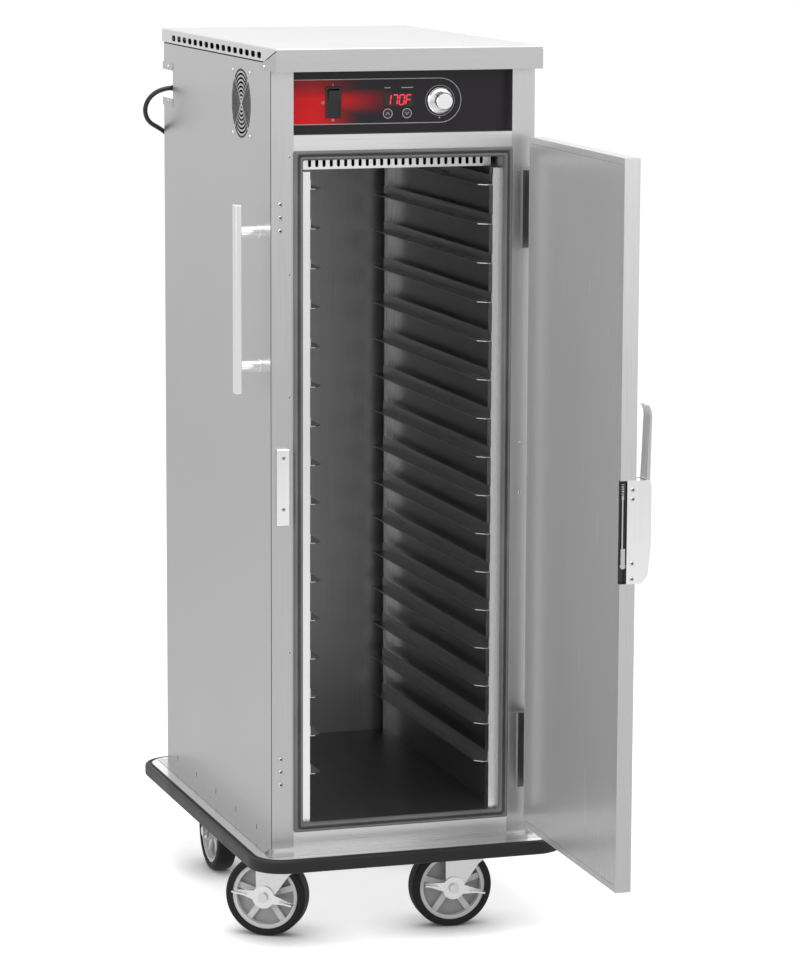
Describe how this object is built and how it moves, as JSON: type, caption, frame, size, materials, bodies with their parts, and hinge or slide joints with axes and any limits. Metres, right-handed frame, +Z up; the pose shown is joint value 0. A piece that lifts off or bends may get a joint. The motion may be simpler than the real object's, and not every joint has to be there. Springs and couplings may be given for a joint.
{
  "type": "heated holding cabinet",
  "caption": "Tall insulated steel holding cabinet on casters with a hinged latching door, tray ledges, a blower-warmed cavity and a control panel under the top fascia.",
  "frame": {"origin": "point on the floor under the middle of the cabinet body, half way between its side panels and between its front and rear faces", "axes": "+Z up, -Y out of the door side, +X towards the hinged side of the door"},
  "size_m": [0.6095, 1.3216, 1.624],
  "materials": {
    "steel_sheet": "brushed",
    "insulation": "matte fibre",
    "seal_rubber": "matte",
    "panel_black": "gloss",
    "display_red": "gloss",
    "black_plastic": "satin",
    "chromed": "polished",
    "board": "satin",
    "motor_metal": "satin",
    "heater_sheath": "matte",
    "bumper_grey": "satin",
    "zinc_steel": "plated",
    "latch_dark": "satin",
    "wheel_grey": "satin",
    "wheel_tyre": "matte",
    "cord_black": "matte"
  },
  "bodies": {
    "cabinet": {"side_panel_left": "steel_sheet", "side_panel_right": "steel_sheet", "rear_panel": "steel_sheet", "front_posts": "steel_sheet", "frame_rails": "steel_sheet", "top_cap": "steel_sheet", "fascia": "steel_sheet", "liner_walls": "steel_sheet", "liner_panels": "steel_sheet", "insulation": "insulation", "door_gasket": "seal_rubber", "control_panel": "panel_black", "display_window": "display_red", "switch_bezel": "black_plastic", "control_board": "board", "cooling_fan_frame": "black_plastic", "blower_motor": "motor_metal", "heating_element": "heater_sheath", "air_duct": "steel_sheet", "rack_uprights": "steel_sheet", "pan_slides": "steel_sheet", "base_deck": "steel_sheet", "bumper": "bumper_grey", "caster_plates": "zinc_steel", "rear_caster_forks": "zinc_steel", "side_handles": "chromed", "strike_plate": "chromed", "hinge_frame_leaves": "chromed", "cord_pocket": "steel_sheet", "cord_gland": "black_plastic", "power_cord": "cord_black", "power_plug": "cord_black", "rear_axles": "zinc_steel"},
    "door": {"door_shell": "steel_sheet", "door_core": "insulation", "door_inner_panel": "steel_sheet", "hinge_door_leaves": "chromed", "latch_body": "chromed"},
    "latch_lever": {"latch_lever": "chromed"},
    "latch_catch": {"latch_catch": "latch_dark"},
    "rocker": {"rocker": "black_plastic"},
    "button_left": {"button_left": "black_plastic"},
    "button_right": {"button_right": "black_plastic"},
    "control_knob": {"control_knob": "chromed"},
    "cooling_fan_rotor": {"cooling_fan_rotor": "black_plastic"},
    "blower_wheel": {"blower_wheel": "motor_metal"},
    "caster_left": {"fork_front_left": "zinc_steel", "axle_front_left": "zinc_steel"},
    "wheel_front_left": {"hub_front_left": "wheel_grey", "tyre_front_left": "wheel_tyre"},
    "brake_left": {"brake_lever_left": "zinc_steel"},
    "wheel_rear_left": {"hub_rear_left": "wheel_grey", "tyre_rear_left": "wheel_tyre"},
    "caster_right": {"fork_front_right": "zinc_steel", "axle_front_right": "zinc_steel"},
    "wheel_front_right": {"hub_front_right": "wheel_grey", "tyre_front_right": "wheel_tyre"},
    "brake_right": {"brake_lever_right": "zinc_steel"},
    "wheel_rear_right": {"hub_rear_right": "wheel_grey", "tyre_rear_right": "wheel_tyre"}
  },
  "joints": [
    {"name": "door_hinge", "type": "hinge", "parent": "cabinet", "child": "door", "pos_m": [0.253, -0.4139, 0.829], "axis": [0, 0, 1], "range_deg": [-89, 91]},
    {"name": "latch_pull", "type": "hinge", "parent": "door", "child": "latch_lever", "pos_m": [0.26108, -0.89661, 0.8144], "axis": [0.0175, 0.9998, 0], "range_deg": [0, 20], "stiffness_Nm_per_rad": 0.6, "springref_deg": -5.73},
    {"name": "catch_draw", "type": "slide", "parent": "door", "child": "latch_catch", "axis": [0, 0, 1], "range_m": [0, 0.008]},
    {"name": "rocker_tip", "type": "hinge", "parent": "cabinet", "child": "rocker", "pos_m": [-0.124, -0.341, 1.525], "axis": [1, 0, 0], "range_deg": [-16, 0]},
    {"name": "button_left_press", "type": "slide", "parent": "cabinet", "child": "button_left", "axis": [0, 1, 0], "range_m": [0, 0.0008], "stiffness_N_per_m": 600},
    {"name": "button_right_press", "type": "slide", "parent": "cabinet", "child": "button_right", "axis": [0, 1, 0], "range_m": [0, 0.0008], "stiffness_N_per_m": 600},
    {"name": "knob_turn", "type": "hinge", "parent": "cabinet", "child": "control_knob", "pos_m": [0.076, -0.347, 1.525], "axis": [0, -1, 0], "range_deg": [-135, 135]},
    {"name": "cooling_fan_spin", "type": "hinge", "parent": "cabinet", "child": "cooling_fan_rotor", "pos_m": [-0.2273, -0.182, 1.5145], "axis": [1, 0, 0], "continuous": true},
    {"name": "blower_spin", "type": "hinge", "parent": "cabinet", "child": "blower_wheel", "pos_m": [0, 0, 1.4145], "axis": [0, 0, 1], "continuous": true},
    {"name": "swivel_left", "type": "hinge", "parent": "cabinet", "child": "caster_left", "pos_m": [-0.176, -0.355, 0.1497], "axis": [0, 0, 1], "continuous": true},
    {"name": "wheel_front_left_spin", "type": "hinge", "parent": "caster_left", "child": "wheel_front_left", "pos_m": [-0.23806, -0.3147, 0.076], "axis": [0.5446, 0.8387, 0], "continuous": true},
    {"name": "brake_left_tread", "type": "hinge", "parent": "caster_left", "child": "brake_left", "pos_m": [-0.23806, -0.3147, 0.076], "axis": [0.5446, 0.8387, 0], "range_deg": [-12, 12]},
    {"name": "wheel_rear_left_spin", "type": "hinge", "parent": "cabinet", "child": "wheel_rear_left", "pos_m": [-0.201, 0.165, 0.076], "axis": [1, 0, 0], "continuous": true},
    {"name": "swivel_right", "type": "hinge", "parent": "cabinet", "child": "caster_right", "pos_m": [0.176, -0.355, 0.1497], "axis": [0, 0, 1], "continuous": true},
    {"name": "wheel_front_right_spin", "type": "hinge", "parent": "caster_right", "child": "wheel_front_right", "pos_m": [0.1021, -0.35113, 0.076], "axis": [0.0523, 0.9986, 0], "continuous": true},
    {"name": "brake_right_tread", "type": "hinge", "parent": "caster_right", "child": "brake_right", "pos_m": [0.1021, -0.35113, 0.076], "axis": [0.0523, 0.9986, 0], "range_deg": [-12, 12]},
    {"name": "wheel_rear_right_spin", "type": "hinge", "parent": "cabinet", "child": "wheel_rear_right", "pos_m": [0.201, 0.165, 0.076], "axis": [1, 0, 0], "continuous": true}
  ],
  "couplings": [
    {"joint": "catch_draw", "follows": "latch_pull", "m_per_rad": 0.022895}
  ]
}
